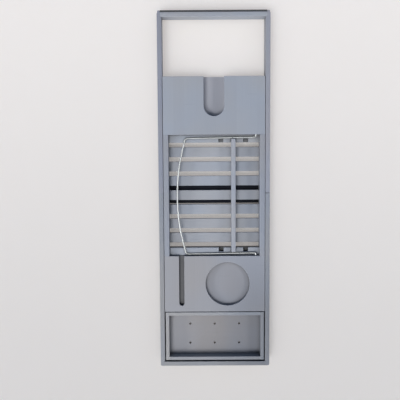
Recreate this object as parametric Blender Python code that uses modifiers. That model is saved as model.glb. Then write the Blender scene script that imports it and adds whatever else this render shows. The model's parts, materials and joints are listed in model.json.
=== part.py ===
"""Extending bath caddy of painted boards, with a folding wire page rest and a lift-out tray.

The frame in the middle carries a glass slot, a slatted rest and a cup recess. Two arms slide out
of it, one with an open bay for a towel and one that holds the tray. Everything is in metres at
real size, +X along the length towards the tray, +Y away from the bather, +Z up, and the origin
lies under the middle of the closed caddy. All pieces are shown closed, with the wire folded.
"""

import math

import bmesh
import bpy
from mathutils import Quaternion, Vector

# Overall sizes
OVERALL_WIDTH = 0.220
OVERALL_HEIGHT = 0.040
ARM_LENGTH = 0.351
OPEN_BAY_LENGTH = 0.1135
TRAY_BAY_LENGTH = 0.103
ARM_KEPT_LENGTH = 0.0535

# Clearances
SEAT_GAP = 0.0003
SLIDE_GAP = 0.0006
MEETING_GAP = 0.0006
CUT_OVERRUN = 0.004

# Edges and corners
EDGE_RADIUS = 0.0010
CORNER_RADIUS = 0.0030
EDGE_SEGMENTS = 2
EDGE_ANGLE_DEGREES = 40
ARC_STEPS = 5
ROUND_STEPS = 40

# Arms
LEG_THICKNESS = 0.009
END_BAR_THICKNESS = 0.009
END_BAR_HOUSING = 0.003
CROSSBAR_WIDTH = 0.022
CROSSBAR_THICKNESS = 0.008
CROSSBAR_HOUSING = 0.007
PAD_THICKNESS = 0.0015
PAD_WIDTH = 0.007
PAD_LENGTH = 0.060
PAD_END_INSET = 0.008
PAD_EDGE_SHARE = 0.25

# Frame
FRAME_DEPTH = 0.0285
RAIL_WIDTH = 0.0104
PANEL_LENGTH = 0.1135
PANEL_THICKNESS = 0.0095
HOUSING_DEPTH = 0.0035
TONGUE_DEPTH = 0.0035
TONGUE_HEIGHT = 0.006
TONGUE_DROP = 0.0185
GROOVE_SIDE_GAP = 0.0004
STOP_WIDTH = 0.012
STOP_THICKNESS = 0.008
CROSS_RAIL_WIDTH = 0.012

# Glass slot
GLASS_SLOT_WIDTH = 0.040
GLASS_SLOT_LENGTH = 0.077
GLASS_FLOOR_DROP = 0.022
GLASS_POCKET_WIDTH = 0.092
CHEEK_WIDTH = 0.012

# Cup recess and phone groove
CUP_DIAMETER = 0.088
CUP_CENTRE_INSET = 0.0744
CUP_FLOOR_THICKNESS = 0.006
PHONE_GROOVE_WIDTH = 0.010
PHONE_GROOVE_END_MARGIN = 0.0125
PHONE_GROOVE_INSET = 0.0344

# Slats and notched strips
SLAT_WIDTH = 0.0198
SLAT_GAP_WISHED = 0.009
STRIP_WIDTH = 0.0153
NOTCH_COUNT = 3
NOTCH_PITCH = 0.0245
NOTCH_MIDDLE_INSET = 0.052
NOTCH_WIDTH = 0.0095
NOTCH_LENGTH = 0.0082
NOTCH_DEPTH = 0.009

# Page rest wire
WIRE_DIAMETER = 0.0032
WIRE_AXIS_INSET = 0.0074
WIRE_AXIS_RISE = 0.0037
WIRE_ARM_INSET = 0.0052
WIRE_PIN_LENGTH = 0.005
WIRE_HOLE_CLEARANCE = 0.0004
WIRE_BOW_INSET = 0.0166
WIRE_BOW_RISE = 0.0164
WIRE_CORNER_RADIUS = 0.007
WIRE_PIN_BEND_RADIUS = 0.0030
WIRE_BEND_STEPS = 5
WIRE_BOW_STEPS = 16
WIRE_CORNER_STEPS = 3
WIRE_ROUND_RESOLUTION = 2

# Ledge bar
LEDGE_WIDTH = 0.0085

# Tray
TRAY_HEIGHT = 0.028
TRAY_WALL = 0.007
TRAY_FLOOR_THICKNESS = 0.005
TRAY_INNER_DEPTH = 0.022
TRAY_FLOOR_HOUSING = 0.003
TRAY_FRAME_GAP = 0.001
TRAY_END_GAP = 0.003
TRAY_SIDE_GAP = 0.002
TRAY_HOLE_DIAMETER = 0.0045
TRAY_HOLE_PITCH_X = 0.040
TRAY_HOLE_PITCH_Y = 0.050
TRAY_HOLE_STEPS = 16
TRAY_LEDGE_WIDTH = 0.009
TRAY_LEDGE_THICKNESS = 0.006

# Screws
SCREW_LENGTH = 0.014
SCREW_SHANK_RADIUS = 0.0014
SCREW_HEAD_RADIUS = 0.0025
SCREW_HEAD_HEIGHT = 0.0018
SCREW_TIP_LENGTH = 0.0022
SCREW_TIP_RADIUS = 0.0004
SCREW_SOCKET_RADIUS = 0.0011
SCREW_SOCKET_DEPTH = 0.0012
SCREW_SOCKET_SIDES = 6
SCREW_STEPS = 12
SCREW_GAP = 0.0002
WELD_DISTANCE = 0.00001

# Heights that follow
TOP = OVERALL_HEIGHT
LEG_BOTTOM = PAD_THICKNESS + SEAT_GAP
PANEL_BOTTOM = TOP - PANEL_THICKNESS
FRAME_BOTTOM = TOP - FRAME_DEPTH
GLASS_FLOOR_TOP = TOP - GLASS_FLOOR_DROP
SLAT_TOP = GLASS_FLOOR_TOP
STRIP_TOP = PANEL_BOTTOM
NOTCH_FLOOR = STRIP_TOP - NOTCH_DEPTH
CUP_FLOOR_TOP = PANEL_BOTTOM - SEAT_GAP
CUP_FLOOR_BOTTOM = CUP_FLOOR_TOP - CUP_FLOOR_THICKNESS
STOP_TOP = FRAME_BOTTOM - SEAT_GAP
STOP_BOTTOM = STOP_TOP - STOP_THICKNESS
CROSSBAR_TOP = LEG_BOTTOM + CROSSBAR_THICKNESS
TONGUE_MIDDLE = TOP - TONGUE_DROP
TRAY_BOTTOM = TOP - TRAY_HEIGHT
TRAY_FLOOR_TOP = TOP - TRAY_INNER_DEPTH

# Lengths along X that follow
ARM_INNER_X = MEETING_GAP / 2
ARM_OUTER_X = ARM_INNER_X + ARM_LENGTH
FRAME_LOW_X = -ARM_OUTER_X + END_BAR_THICKNESS + OPEN_BAY_LENGTH
FRAME_HIGH_X = ARM_OUTER_X - END_BAR_THICKNESS - TRAY_BAY_LENGTH
OPENING_LOW_X = FRAME_LOW_X + PANEL_LENGTH
OPENING_HIGH_X = FRAME_HIGH_X - PANEL_LENGTH
OPENING_MIDDLE_X = (OPENING_LOW_X + OPENING_HIGH_X) / 2
CUP_CENTRE_X = OPENING_HIGH_X + PANEL_LENGTH / 2
PHONE_GROOVE_LENGTH = PANEL_LENGTH - PHONE_GROOVE_END_MARGIN
TRAY_LENGTH = TRAY_BAY_LENGTH - TRAY_FRAME_GAP - TRAY_END_GAP
ARM_TRAVEL = ARM_LENGTH - END_BAR_THICKNESS - OPEN_BAY_LENGTH - ARM_KEPT_LENGTH
STOP_INNER_X = ARM_INNER_X + CROSSBAR_WIDTH + ARM_TRAVEL + SEAT_GAP
STRIP_INNER_LOW_X = OPENING_LOW_X + SEAT_GAP + STRIP_WIDTH
STRIP_INNER_HIGH_X = OPENING_HIGH_X - SEAT_GAP - STRIP_WIDTH
SLATTED_LENGTH = STRIP_INNER_HIGH_X - STRIP_INNER_LOW_X
SLAT_COUNT = round((SLATTED_LENGTH - SLAT_GAP_WISHED) / (SLAT_WIDTH + SLAT_GAP_WISHED))
SLAT_GAP = (SLATTED_LENGTH - SLAT_COUNT * SLAT_WIDTH) / (SLAT_COUNT + 1)

# Widths along Y that follow
LEG_OUTER_Y = OVERALL_WIDTH / 2
LEG_INNER_Y = LEG_OUTER_Y - LEG_THICKNESS
FRAME_HALF_WIDTH = LEG_INNER_Y - SLIDE_GAP
OPENING_HALF_WIDTH = FRAME_HALF_WIDTH - RAIL_WIDTH
HOUSING_Y = OPENING_HALF_WIDTH + HOUSING_DEPTH
CUP_CENTRE_Y = FRAME_HALF_WIDTH - CUP_CENTRE_INSET
PHONE_GROOVE_Y = PHONE_GROOVE_INSET - FRAME_HALF_WIDTH
NOTCH_MIDDLE_Y = OPENING_HALF_WIDTH - NOTCH_MIDDLE_INSET
TRAY_WIDTH = 2 * (LEG_INNER_Y - TRAY_SIDE_GAP)
CROSSBAR_HALF_LENGTH = LEG_INNER_Y + CROSSBAR_HOUSING - SEAT_GAP
CROSSBAR_SCREW_Y = LEG_INNER_Y + CROSSBAR_HOUSING / 2
STOP_SCREW_Y = (HOUSING_Y + FRAME_HALF_WIDTH) / 2
STOP_HALF_LENGTH = FRAME_HALF_WIDTH - SEAT_GAP

# The wire turns on this line, and lies folded on the notched strips, its bow over the slats
WIRE_RADIUS = WIRE_DIAMETER / 2
WIRE_AXIS_Y = OPENING_HALF_WIDTH - WIRE_AXIS_INSET
WIRE_BOW_REACH = 2 * OPENING_HALF_WIDTH - WIRE_AXIS_INSET - WIRE_BOW_INSET
WIRE_AXIS_Z = STRIP_TOP + WIRE_AXIS_RISE
WIRE_FOLDED_DROP = WIRE_AXIS_RISE - WIRE_RADIUS - SEAT_GAP
WIRE_FOLDED_TILT = math.asin(WIRE_FOLDED_DROP / WIRE_BOW_REACH)

PAINT = (0.35, 0.38, 0.43)
SHADED_PAINT = (0.03, 0.032, 0.037)
STEEL = (0.72, 0.73, 0.74)
SILICONE = (0.10, 0.10, 0.11)


def clear_scene():
    for old in list(bpy.data.objects):
        bpy.data.objects.remove(old, do_unlink=True)


def new_collection(name):
    collection = bpy.data.collections.new(name)
    bpy.context.scene.collection.children.link(collection)
    return collection


clear_scene()
PARTS = new_collection("bath_caddy")
CUTTERS = new_collection("cutters")


def new_material(name, colour, roughness, metallic):
    material = bpy.data.materials.new(name)
    material.use_nodes = True
    shader = material.node_tree.nodes["Principled BSDF"]
    shader.inputs["Base Color"].default_value = (*colour, 1.0)
    shader.inputs["Roughness"].default_value = roughness
    shader.inputs["Metallic"].default_value = metallic
    return material


def painted(name):
    return new_material(name + "_paint", PAINT, 0.55, 0.0)


def dark_painted(name):
    return new_material(name + "_dark_paint", SHADED_PAINT, 0.7, 0.0)


def steel(name):
    return new_material(name + "_steel", STEEL, 0.25, 1.0)


def silicone(name):
    return new_material(name + "_silicone", SILICONE, 0.8, 0.0)


def add_object(name, mesh, collection, location=(0, 0, 0)):
    item = bpy.data.objects.new(name, mesh)
    item.location = location
    collection.objects.link(item)
    return item


def add_bevel(item, width=EDGE_RADIUS):
    bevel = item.modifiers.new("rounded_edges", "BEVEL")
    bevel.width = width
    bevel.segments = EDGE_SEGMENTS
    bevel.limit_method = "ANGLE"
    bevel.angle_limit = math.radians(EDGE_ANGLE_DEGREES)


def box_mesh(name, size):
    mesh = bpy.data.meshes.new(name)
    form = bmesh.new()
    bmesh.ops.create_cube(form, size=1.0)
    bmesh.ops.scale(form, vec=size, verts=form.verts)
    form.to_mesh(mesh)
    form.free()
    return mesh


def box(name, first, second, collection):
    """A box between any two opposite corners."""
    low = Vector([min(a, b) for a, b in zip(first, second)])
    high = Vector([max(a, b) for a, b in zip(first, second)])
    return add_object(name, box_mesh(name, high - low), collection, (low + high) / 2)


def board(name, first, second, material, edge=EDGE_RADIUS):
    """A plain board with rounded edges between two opposite corners."""
    item = box(name, first, second, PARTS)
    item.data.materials.append(material)
    if edge:
        add_bevel(item, edge)
    return item


def hide_cutter(item):
    item.hide_render = True
    item.display_type = "WIRE"
    return item


def box_cutter(name, first, second):
    return hide_cutter(box(name, first, second, CUTTERS))


def round_cutter(name, centre, radius, length, steps, axis="Z"):
    mesh = bpy.data.meshes.new(name)
    form = bmesh.new()
    bmesh.ops.create_cone(
        form, cap_ends=True, segments=steps, radius1=radius, radius2=radius, depth=length
    )
    form.to_mesh(mesh)
    form.free()
    item = add_object(name, mesh, CUTTERS, centre)
    if axis == "X":
        item.rotation_euler.y = math.pi / 2
    return hide_cutter(item)


def cut(item, cutter):
    difference = item.modifiers.new("cut_" + cutter.name, "BOOLEAN")
    difference.operation = "DIFFERENCE"
    difference.solver = "EXACT"
    difference.object = cutter


def mesh_from_curve(curve_item):
    """Makes a welded mesh object of a curve object, and removes the curve."""
    bpy.context.view_layer.update()
    graph = bpy.context.evaluated_depsgraph_get()
    mesh = bpy.data.meshes.new_from_object(curve_item.evaluated_get(graph))
    form = bmesh.new()
    form.from_mesh(mesh)
    bmesh.ops.remove_doubles(form, verts=form.verts, dist=WELD_DISTANCE)
    bmesh.ops.recalc_face_normals(form, faces=form.faces)
    form.to_mesh(mesh)
    form.free()
    item = bpy.data.objects.new(curve_item.name + "_mesh", mesh)
    item.matrix_world = curve_item.matrix_world
    for collection in curve_item.users_collection:
        collection.objects.link(item)
    name = curve_item.name
    bpy.data.objects.remove(curve_item, do_unlink=True)
    item.name = name
    return item


def flat_outline(name, outlines, thickness, edge, material):
    """A flat board lying in XY from closed outlines, the first the rim and the rest holes."""
    curve = bpy.data.curves.new(name, "CURVE")
    curve.dimensions = "2D"
    curve.fill_mode = "BOTH"
    curve.extrude = thickness / 2 - edge
    curve.bevel_depth = edge
    curve.bevel_resolution = EDGE_SEGMENTS - 1
    curve.offset = -edge
    for outline in outlines:
        spline = curve.splines.new("POLY")
        spline.points.add(len(outline) - 1)
        for point, (x, y) in zip(spline.points, outline):
            point.co = (x, y, 0, 1)
        spline.use_cyclic_u = True
    item = add_object(name, curve, PARTS)
    item.data.materials.append(material)
    return item


def arc(centre, radius, start, end, steps):
    """Points of an arc in a plane, angles in degrees."""
    points = []
    for step in range(steps + 1):
        angle = math.radians(start + (end - start) * step / steps)
        points.append((centre[0] + radius * math.cos(angle), centre[1] + radius * math.sin(angle)))
    return points


def carry(parent_name, location, pieces):
    """Parents the pieces to an empty that stands where their joint is, without moving them."""
    empty = bpy.data.objects.new(parent_name, None)
    empty.location = location
    PARTS.objects.link(empty)
    bpy.context.view_layer.update()
    for piece in pieces:
        piece.parent = empty
        piece.matrix_parent_inverse = empty.matrix_world.inverted()
    return empty


def screw_profile_object(name, head_z, extra, collection):
    """A countersunk screw turned about Z, pointing up from its head, or its bore when extra is set."""
    tip_z = head_z + SCREW_LENGTH + extra
    low_z = head_z - extra * CUT_OVERRUN / SCREW_GAP
    profile = [
        (0, tip_z),
        (SCREW_TIP_RADIUS + extra, tip_z),
        (SCREW_SHANK_RADIUS + extra, tip_z - SCREW_TIP_LENGTH),
        (SCREW_SHANK_RADIUS + extra, head_z + SCREW_HEAD_HEIGHT),
        (SCREW_HEAD_RADIUS + extra, head_z),
    ]
    if extra:
        profile.append((SCREW_HEAD_RADIUS + extra, low_z))
    profile.append((0, low_z))
    mesh = bpy.data.meshes.new(name)
    form = bmesh.new()
    verts = [form.verts.new((x, 0, z)) for x, z in profile]
    for first, second in zip(verts, verts[1:]):
        form.edges.new((first, second))
    form.to_mesh(mesh)
    form.free()
    item = add_object(name, mesh, collection)
    turn = item.modifiers.new("turned", "SCREW")
    turn.axis = "Z"
    turn.angle = 2 * math.pi
    turn.steps = SCREW_STEPS
    turn.render_steps = SCREW_STEPS
    turn.use_merge_vertices = True
    turn.merge_threshold = WELD_DISTANCE
    turn.use_smooth_shade = True
    return item


def screw(name, x, y, head_z, holders):
    """A countersunk screw at one place, and its bore in each piece that it holds together."""
    item = screw_profile_object(name, head_z, 0, PARTS)
    item.location = (x, y, 0)
    item.data.materials.append(steel(name))
    socket = round_cutter(
        name + "_socket", (x, y, head_z), SCREW_SOCKET_RADIUS, 2 * SCREW_SOCKET_DEPTH,
        SCREW_SOCKET_SIDES,
    )
    cut(item, socket)
    bore = screw_profile_object(name + "_bore", head_z, SCREW_GAP, CUTTERS)
    bore.location = (x, y, 0)
    hide_cutter(bore)
    for holder in holders:
        cut(holder, bore)
    return item


# Slats and notched strips

def slat_spans():
    """Low and high X of each slat, from the glass side to the cup side."""
    spans = []
    for index in range(SLAT_COUNT):
        low = STRIP_INNER_LOW_X + SLAT_GAP + index * (SLAT_WIDTH + SLAT_GAP)
        spans.append((low, low + SLAT_WIDTH))
    return spans


def strip_spans():
    """Low and high X of the notched strips, the glass side first."""
    return [
        (OPENING_LOW_X + SEAT_GAP, STRIP_INNER_LOW_X),
        (STRIP_INNER_HIGH_X, OPENING_HIGH_X - SEAT_GAP),
    ]


def notch_centres():
    first = NOTCH_MIDDLE_Y - NOTCH_PITCH * (NOTCH_COUNT - 1) / 2
    return [first + index * NOTCH_PITCH for index in range(NOTCH_COUNT)]


def make_slats():
    slats = []
    half = HOUSING_Y - SEAT_GAP
    for number, (low, high) in enumerate(slat_spans(), start=1):
        name = f"slat_{number}"
        slats.append(
            board(name, (low, -half, FRAME_BOTTOM), (high, half, SLAT_TOP), painted(name))
        )
    return slats


def make_notched_strip(name, span, inner_x, direction):
    """An end strip with open notches on its slat side; direction points from the slats to the wall."""
    half = HOUSING_Y - SEAT_GAP
    strip = board(
        name,
        (span[0], -half, FRAME_BOTTOM),
        (span[1], half, STRIP_TOP),
        painted(name),
        edge=0,
    )
    for number, y in enumerate(notch_centres(), start=1):
        cutter = box_cutter(
            f"{name}_notch_{number}",
            (inner_x - direction * CUT_OVERRUN, y - NOTCH_WIDTH / 2, NOTCH_FLOOR),
            (inner_x + direction * NOTCH_LENGTH, y + NOTCH_WIDTH / 2, STRIP_TOP + CUT_OVERRUN),
        )
        cut(strip, cutter)
    add_bevel(strip)
    return strip


# Side rails

def rail_section(side):
    """Cross-section of a side rail in Y and Z, with its tongue on the outer face."""
    inner = side * OPENING_HALF_WIDTH
    outer = side * FRAME_HALF_WIDTH
    reach = side * (FRAME_HALF_WIDTH + TONGUE_DEPTH)
    low = TONGUE_MIDDLE - TONGUE_HEIGHT / 2
    high = TONGUE_MIDDLE + TONGUE_HEIGHT / 2
    step = side * EDGE_RADIUS
    outline = [(inner, FRAME_BOTTOM), (outer, FRAME_BOTTOM), (outer, low), (reach, low), (reach, high)]
    outline.append((outer, high))
    for start, x in ((0, outer - step), (90, inner + step)):
        for point in arc((0, TOP - EDGE_RADIUS), EDGE_RADIUS, start, start + 90, EDGE_SEGMENTS):
            outline.append((x + side * point[0], point[1]))
    return outline


def make_rail(name, side):
    curve = bpy.data.curves.new(name, "CURVE")
    curve.dimensions = "2D"
    curve.fill_mode = "BOTH"
    curve.extrude = (FRAME_HIGH_X - FRAME_LOW_X) / 2
    outline = rail_section(side)
    spline = curve.splines.new("POLY")
    spline.points.add(len(outline) - 1)
    for point, (y, z) in zip(spline.points, outline):
        point.co = (y, z, 0, 1)
    spline.use_cyclic_u = True
    item = add_object(name, curve, PARTS, ((FRAME_LOW_X + FRAME_HIGH_X) / 2, 0, 0))
    item.rotation_euler = (math.pi / 2, 0, math.pi / 2)
    item.data.materials.append(painted(name))
    rail = mesh_from_curve(item)
    for cutter in rail_cutters(name, side):
        cut(rail, cutter)
    return rail


def rail_cutters(name, side):
    """Rebates for the top boards and floors, and a housing from below for each slat and strip."""
    beyond_low = FRAME_LOW_X - CUT_OVERRUN
    beyond_high = FRAME_HIGH_X + CUT_OVERRUN
    open_y = side * (OPENING_HALF_WIDTH - CUT_OVERRUN)
    past_y = side * (FRAME_HALF_WIDTH + CUT_OVERRUN)
    blind_y = side * HOUSING_Y
    above = TOP + CUT_OVERRUN
    below = FRAME_BOTTOM - CUT_OVERRUN
    panel_seat = PANEL_BOTTOM - SEAT_GAP
    cutters = [
        box_cutter(
            name + "_glass_panel_rebate",
            (beyond_low, open_y, panel_seat),
            (OPENING_LOW_X + SEAT_GAP, past_y, above),
        ),
        box_cutter(
            name + "_cup_panel_rebate",
            (OPENING_HIGH_X - SEAT_GAP, open_y, panel_seat),
            (beyond_high, past_y, above),
        ),
        box_cutter(
            name + "_glass_floor_rebate",
            (beyond_low, open_y, below),
            (OPENING_LOW_X + SEAT_GAP, blind_y, GLASS_FLOOR_TOP + SEAT_GAP),
        ),
        box_cutter(
            name + "_cup_floor_rebate",
            (OPENING_HIGH_X - SEAT_GAP, open_y, CUP_FLOOR_BOTTOM - SEAT_GAP),
            (beyond_high, blind_y, above),
        ),
    ]
    for number, (low, high) in enumerate(slat_spans(), start=1):
        cutters.append(
            box_cutter(
                f"{name}_slat_housing_{number}",
                (low - SEAT_GAP, open_y, below),
                (high + SEAT_GAP, blind_y, SLAT_TOP + SEAT_GAP),
            )
        )
    for number, (low, high) in enumerate(strip_spans(), start=1):
        cutters.append(
            box_cutter(
                f"{name}_strip_housing_{number}",
                (low - SEAT_GAP, open_y, below),
                (high + SEAT_GAP, blind_y, STRIP_TOP + SEAT_GAP),
            )
        )
    return cutters


# Boards over and under the ends of the frame

def wire_hole(name, x):
    """Blind hole in the slat-side edge of a top board, for one end of the wire."""
    depth = WIRE_PIN_LENGTH + SEAT_GAP
    return round_cutter(
        name + "_wire_hole",
        (x, WIRE_AXIS_Y, WIRE_AXIS_Z),
        WIRE_RADIUS + WIRE_HOLE_CLEARANCE,
        2 * depth,
        TRAY_HOLE_STEPS,
        axis="X",
    )


def make_glass_panel():
    """Top board with a round-ended slot, open at the frame's end, for a glass's stem."""
    half = FRAME_HALF_WIDTH
    radius = GLASS_SLOT_WIDTH / 2
    slot_centre = (FRAME_LOW_X + GLASS_SLOT_LENGTH - radius, 0)
    rim = [(FRAME_LOW_X, half), (FRAME_LOW_X, radius)]
    rim += arc(slot_centre, radius, 90, -90, ROUND_STEPS // 2)
    rim += [(FRAME_LOW_X, -radius), (FRAME_LOW_X, -half), (OPENING_LOW_X, -half), (OPENING_LOW_X, half)]
    curve = flat_outline("glass_panel", [rim], PANEL_THICKNESS, EDGE_RADIUS, painted("glass_panel"))
    curve.location.z = TOP - PANEL_THICKNESS / 2
    panel = mesh_from_curve(curve)
    cut(panel, wire_hole("glass_panel", OPENING_LOW_X))
    return panel


def make_cup_panel():
    """Top board with the round cup recess and the phone groove, which runs in from the slats."""
    half = FRAME_HALF_WIDTH
    radius = PHONE_GROOVE_WIDTH / 2
    groove_centre = (OPENING_HIGH_X + PHONE_GROOVE_LENGTH - radius, PHONE_GROOVE_Y)
    rim = [(OPENING_HIGH_X, -half), (OPENING_HIGH_X, PHONE_GROOVE_Y - radius)]
    rim += arc(groove_centre, radius, -90, 90, ARC_STEPS * 2)
    rim += [(OPENING_HIGH_X, PHONE_GROOVE_Y + radius), (OPENING_HIGH_X, half)]
    rim += [(FRAME_HIGH_X, half), (FRAME_HIGH_X, -half)]
    cup = arc((CUP_CENTRE_X, CUP_CENTRE_Y), CUP_DIAMETER / 2, 0, 360, ROUND_STEPS)[:-1]
    curve = flat_outline("cup_panel", [rim, cup], PANEL_THICKNESS, EDGE_RADIUS, painted("cup_panel"))
    curve.location.z = TOP - PANEL_THICKNESS / 2
    panel = mesh_from_curve(curve)
    cut(panel, wire_hole("cup_panel", OPENING_HIGH_X))
    return panel


def make_frame_boards():
    """Floors, cheeks, cross rails and travel stops of the frame."""
    floor_half = HOUSING_Y - SEAT_GAP
    rail_half = OPENING_HALF_WIDTH - SEAT_GAP
    gap_low = GLASS_FLOOR_TOP + SEAT_GAP
    gap_high = PANEL_BOTTOM - SEAT_GAP
    cross_low = OPENING_LOW_X - CROSS_RAIL_WIDTH
    pieces = [
        board(
            "glass_floor",
            (FRAME_LOW_X, -floor_half, FRAME_BOTTOM),
            (OPENING_LOW_X, floor_half, GLASS_FLOOR_TOP),
            painted("glass_floor"),
        ),
        board(
            "cup_floor",
            (OPENING_HIGH_X, -floor_half, CUP_FLOOR_BOTTOM),
            (FRAME_HIGH_X, floor_half, CUP_FLOOR_TOP),
            painted("cup_floor"),
        ),
        board(
            "glass_cross_rail",
            (cross_low, -rail_half, gap_low),
            (OPENING_LOW_X, rail_half, gap_high),
            painted("glass_cross_rail"),
        ),
        board(
            "cup_cross_rail",
            (FRAME_HIGH_X - CROSS_RAIL_WIDTH, -rail_half, FRAME_BOTTOM),
            (FRAME_HIGH_X, rail_half, CUP_FLOOR_BOTTOM - SEAT_GAP),
            painted("cup_cross_rail"),
        ),
    ]
    for word, side in (("near", -1), ("far", 1)):
        name = f"pocket_cheek_{word}"
        pieces.append(
            board(
                name,
                (FRAME_LOW_X, side * GLASS_POCKET_WIDTH / 2, gap_low),
                (cross_low - SEAT_GAP, side * (GLASS_POCKET_WIDTH / 2 + CHEEK_WIDTH), gap_high),
                painted(name),
            )
        )
    return pieces


def make_travel_stop(name, direction, rails):
    """A batten screwed under the side rails, which an arm's crossbar meets when it is fully out."""
    stop = board(
        name,
        (direction * STOP_INNER_X, -STOP_HALF_LENGTH, STOP_BOTTOM),
        (direction * (STOP_INNER_X + STOP_WIDTH), STOP_HALF_LENGTH, STOP_TOP),
        painted(name),
    )
    x = direction * (STOP_INNER_X + STOP_WIDTH / 2)
    for word, side in (("near", -1), ("far", 1)):
        screw(f"{name}_screw_{word}", x, side * STOP_SCREW_Y, STOP_BOTTOM, [stop, rails[side]])
    return stop


# Arms

def leg_outline(direction, side):
    """Plan of a leg, with a rounded outer corner."""
    inner_x = direction * ARM_INNER_X
    outer_x = direction * ARM_OUTER_X
    inner_y = side * LEG_INNER_Y
    outer_y = side * LEG_OUTER_Y
    outline = [(outer_x, inner_y), (inner_x, inner_y), (inner_x, outer_y)]
    centre_x = outer_x - direction * CORNER_RADIUS
    centre_y = outer_y - side * CORNER_RADIUS
    for x, y in arc((0, 0), CORNER_RADIUS, 90, 0, ARC_STEPS):
        outline.append((centre_x + direction * x, centre_y + side * y))
    return outline


def make_leg(name, direction, side):
    height = TOP - LEG_BOTTOM
    curve = flat_outline(name, [leg_outline(direction, side)], height, EDGE_RADIUS, painted(name))
    curve.location.z = (TOP + LEG_BOTTOM) / 2
    leg = mesh_from_curve(curve)
    open_y = side * (LEG_INNER_Y - CUT_OVERRUN)
    half_groove = TONGUE_HEIGHT / 2 + GROOVE_SIDE_GAP
    groove_y = side * (FRAME_HALF_WIDTH + TONGUE_DEPTH + SLIDE_GAP)
    bar_inner_x = direction * (ARM_OUTER_X - END_BAR_THICKNESS)
    cutters = [
        box_cutter(
            name + "_groove",
            (direction * (ARM_INNER_X - CUT_OVERRUN), open_y, TONGUE_MIDDLE - half_groove),
            (bar_inner_x, groove_y, TONGUE_MIDDLE + half_groove),
        ),
        box_cutter(
            name + "_end_bar_housing",
            (bar_inner_x - direction * SEAT_GAP, open_y, LEG_BOTTOM - CUT_OVERRUN),
            (
                direction * (ARM_OUTER_X + CUT_OVERRUN),
                side * (LEG_INNER_Y + END_BAR_HOUSING),
                TOP + CUT_OVERRUN,
            ),
        ),
        box_cutter(
            name + "_crossbar_housing",
            (direction * (ARM_INNER_X - CUT_OVERRUN), open_y, LEG_BOTTOM - CUT_OVERRUN),
            (
                direction * (ARM_INNER_X + CROSSBAR_WIDTH + SEAT_GAP),
                side * (LEG_INNER_Y + CROSSBAR_HOUSING),
                CROSSBAR_TOP + SEAT_GAP,
            ),
        ),
    ]
    for cutter in cutters:
        cut(leg, cutter)
    return leg


def make_pad(name, direction, side):
    """Soft grip strip under a leg, near the arm's outer end."""
    middle_y = side * (LEG_INNER_Y + LEG_OUTER_Y) / 2
    outer_x = ARM_OUTER_X - PAD_END_INSET
    return board(
        name,
        (direction * outer_x, middle_y - PAD_WIDTH / 2, 0),
        (direction * (outer_x - PAD_LENGTH), middle_y + PAD_WIDTH / 2, PAD_THICKNESS),
        silicone(name),
        edge=PAD_THICKNESS * PAD_EDGE_SHARE,
    )


def make_arm(word, direction):
    """Two grooved legs, the end bar, the crossbar under their inner ends, and two grip pads."""
    legs = {side: make_leg(f"{word}_leg_{side_word}", direction, side)
            for side_word, side in (("near", -1), ("far", 1))}
    bar_half = LEG_INNER_Y + END_BAR_HOUSING - SEAT_GAP
    end_bar = board(
        f"{word}_end_bar",
        (direction * (ARM_OUTER_X - END_BAR_THICKNESS), -bar_half, LEG_BOTTOM),
        (direction * ARM_OUTER_X, bar_half, TOP),
        painted(f"{word}_end_bar"),
    )
    crossbar = board(
        f"{word}_crossbar",
        (direction * ARM_INNER_X, -CROSSBAR_HALF_LENGTH, LEG_BOTTOM),
        (direction * (ARM_INNER_X + CROSSBAR_WIDTH), CROSSBAR_HALF_LENGTH, CROSSBAR_TOP),
        dark_painted(f"{word}_crossbar"),
    )
    pieces = [*legs.values(), end_bar, crossbar]
    screw_x = direction * (ARM_INNER_X + CROSSBAR_WIDTH / 2)
    for side_word, side in (("near", -1), ("far", 1)):
        name = f"{word}_crossbar_screw_{side_word}"
        pieces.append(screw(name, screw_x, side * CROSSBAR_SCREW_Y, LEG_BOTTOM, [crossbar, legs[side]]))
        pieces.append(make_pad(f"{word}_grip_pad_{side_word}", direction, side))
    return pieces


def make_tray_ledges():
    """Strips on the inside of the tray arm's legs, that the tray stands on."""
    ledges = []
    top = TRAY_BOTTOM - SEAT_GAP
    for word, side in (("near", -1), ("far", 1)):
        name = f"tray_ledge_{word}"
        outer_y = LEG_INNER_Y - SEAT_GAP
        ledges.append(
            board(
                name,
                (FRAME_HIGH_X + TRAY_FRAME_GAP, side * outer_y, top - TRAY_LEDGE_THICKNESS),
                (
                    ARM_OUTER_X - END_BAR_THICKNESS - SEAT_GAP,
                    side * (outer_y - TRAY_LEDGE_WIDTH),
                    top,
                ),
                painted(name),
            )
        )
    return ledges


# Tray

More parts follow.
